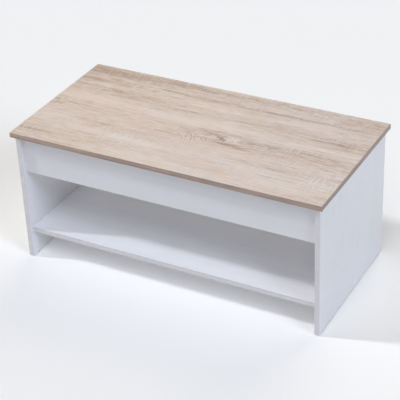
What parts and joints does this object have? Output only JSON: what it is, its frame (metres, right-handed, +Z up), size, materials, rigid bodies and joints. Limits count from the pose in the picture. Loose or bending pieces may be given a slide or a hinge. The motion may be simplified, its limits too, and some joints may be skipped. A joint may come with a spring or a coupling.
{
  "type": "lift top coffee table",
  "caption": "Rectangular coffee table: an oak-look top lifts up and forward on spring-assisted arms over a storage compartment, with an open niche and shelf below, on white panel legs.",
  "frame": {"origin": "on the floor, under the middle of the table", "axes": "+X to the right along the long side, +Y from the user to the back, +Z up"},
  "size_m": [1, 0.5, 0.44],
  "materials": {
    "oak_laminate": "matte laminate with a pale sawn-oak print",
    "top_edge_band": "satin grey-brown wood-print edge band",
    "white_melamine": "white melamine facing on chipboard, satin",
    "white_edge_band": "satin white edge band",
    "hinge_steel": "black powder-coated pressed steel",
    "pivot_steel": "zinc-plated steel",
    "spring_steel": "bright zinc-plated spring wire",
    "zinc_fastener": "zinc-plated steel",
    "cam_zinc": "die-cast zinc",
    "nylon_washer": "natural nylon",
    "dowel_wood": "raw beech",
    "white_cap": "moulded white plastic",
    "bumper_rubber": "soft rubber",
    "glide_plastic": "moulded dark grey plastic"
  },
  "bodies": {
    "case": {"apron_cam_bolts": "zinc_fastener", "apron_cam_caps": "white_cap", "apron_cam_discs": "cam_zinc", "apron_dowels": "dowel_wood", "back_apron": "white_melamine", "back_apron_bands": "white_edge_band", "base_bracket_left": "hinge_steel", "base_bracket_right": "hinge_steel", "base_bracket_screws": "zinc_fastener", "base_pivot_rivets": "pivot_steel", "base_pivot_washers": "nylon_washer", "floor_cam_bolts": "zinc_fastener", "floor_cam_caps": "white_cap", "floor_cam_discs": "cam_zinc", "floor_dowels": "dowel_wood", "floor_glides": "glide_plastic", "front_apron": "white_melamine", "front_apron_bands": "white_edge_band", "glide_nails": "zinc_fastener", "lid_bumpers": "bumper_rubber", "lower_shelf": "white_melamine", "shelf_bands": "white_edge_band", "shelf_cam_bolts": "zinc_fastener", "shelf_cam_caps": "white_cap", "shelf_cam_discs": "cam_zinc", "shelf_dowels": "dowel_wood", "side_bands_left": "white_edge_band", "side_bands_right": "white_edge_band", "side_panel_left": "white_melamine", "side_panel_right": "white_melamine", "spring_posts": "pivot_steel", "stop_studs": "pivot_steel", "storage_floor": "white_melamine"},
    "main_arm_left": {"main_arm_left": "hinge_steel", "spring_pin_left": "pivot_steel"},
    "main_arm_right": {"main_arm_right": "hinge_steel", "spring_pin_right": "pivot_steel"},
    "link_arm_left": {"link_arm_left": "hinge_steel"},
    "link_arm_right": {"link_arm_right": "hinge_steel"},
    "top": {"table_top": "oak_laminate", "top_band_front": "top_edge_band", "top_band_back": "top_edge_band", "top_band_left": "top_edge_band", "top_band_right": "top_edge_band", "top_bracket_left": "hinge_steel", "top_bracket_right": "hinge_steel", "top_bracket_screws": "zinc_fastener", "top_pivot_rivets": "pivot_steel", "top_pivot_washers": "nylon_washer"},
    "spring_left": {"spring_left": "spring_steel"},
    "spring_right": {"spring_right": "spring_steel"}
  },
  "joints": [
    {"name": "lift", "type": "hinge", "parent": "case", "child": "main_arm_left", "pos_m": [-0.468, -0.05, 0.337], "axis": [1, 0, 0], "range_deg": [0, 112]},
    {"name": "main_arm_right_turn", "type": "hinge", "parent": "case", "child": "main_arm_right", "pos_m": [0.468, -0.05, 0.337], "axis": [1, 0, 0], "range_deg": [0, 112]},
    {"name": "link_arm_left_turn", "type": "hinge", "parent": "case", "child": "link_arm_left", "pos_m": [-0.468, -0.09172, 0.35386], "axis": [1, 0, 0], "range_deg": [0, 112]},
    {"name": "link_arm_right_turn", "type": "hinge", "parent": "case", "child": "link_arm_right", "pos_m": [0.468, -0.09172, 0.35386], "axis": [1, 0, 0], "range_deg": [0, 112]},
    {"name": "top_level", "type": "hinge", "parent": "main_arm_left", "child": "top", "pos_m": [-0.468, 0.18476, 0.3869], "axis": [1, 0, 0], "range_deg": [-112, 0]},
    {"name": "spring_left_swing", "type": "hinge", "parent": "case", "child": "spring_left", "pos_m": [-0.455, -0.19, 0.337], "axis": [1, 0, 0], "range_deg": [0, 13.14], "deforming": ["spring_left"]},
    {"name": "spring_right_swing", "type": "hinge", "parent": "case", "child": "spring_right", "pos_m": [0.455, -0.19, 0.337], "axis": [1, 0, 0], "range_deg": [0, 13.14], "deforming": ["spring_right"]}
  ],
  "couplings": [
    {"joint": "main_arm_right_turn", "follows": "lift", "ratio": 1},
    {"joint": "link_arm_left_turn", "follows": "lift", "ratio": 1},
    {"joint": "link_arm_right_turn", "follows": "lift", "ratio": 1},
    {"joint": "top_level", "follows": "lift", "ratio": -1},
    {"joint": "spring_left_swing", "follows": "lift", "ratio": 0.11683},
    {"joint": "spring_right_swing", "follows": "lift", "ratio": 0.11683}
  ]
}
